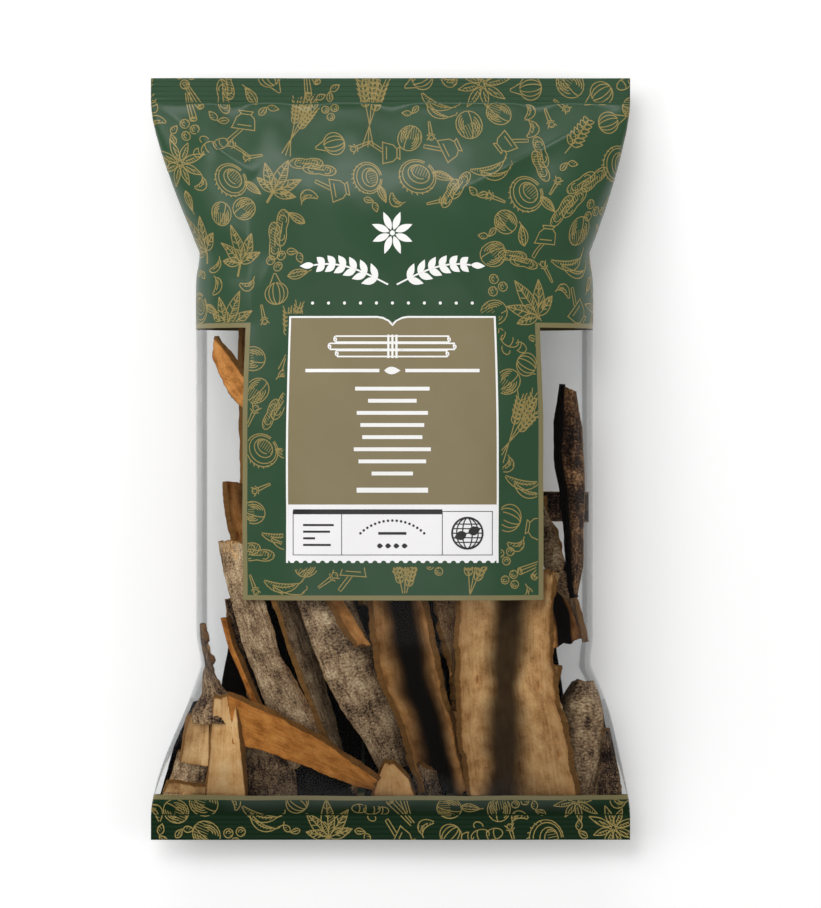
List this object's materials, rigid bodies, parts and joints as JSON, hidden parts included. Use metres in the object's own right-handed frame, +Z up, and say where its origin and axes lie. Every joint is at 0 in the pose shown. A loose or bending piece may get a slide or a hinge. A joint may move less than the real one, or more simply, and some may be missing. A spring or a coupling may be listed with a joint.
{
  "type": "bag of cassia bark",
  "caption": "Sealed pillow bag of dried cassia bark pieces: flat film tube crimped at both ends, printed green front and label, clear side and bottom windows; lies on its back.",
  "frame": {"origin": "on the resting plane, under the middle of the bag's width and length", "axes": "+X across the bag to the right as seen from above with the top seal up, +Y along the bag to its top seal, +Z up out of the printed front"},
  "size_m": [0.13, 0.206, 0.04],
  "materials": {
    "printed_film": "satin gloss printed polypropylene film",
    "clear_film": "glossy clear polypropylene film",
    "gold_print": "flat gold ink on film",
    "label_print": "tan and white ink on film",
    "bark": "rough dry bark, grey outside and tan inside"
  },
  "bodies": {
    "root": {"bag": "printed_film"}
  },
  "joints": []
}
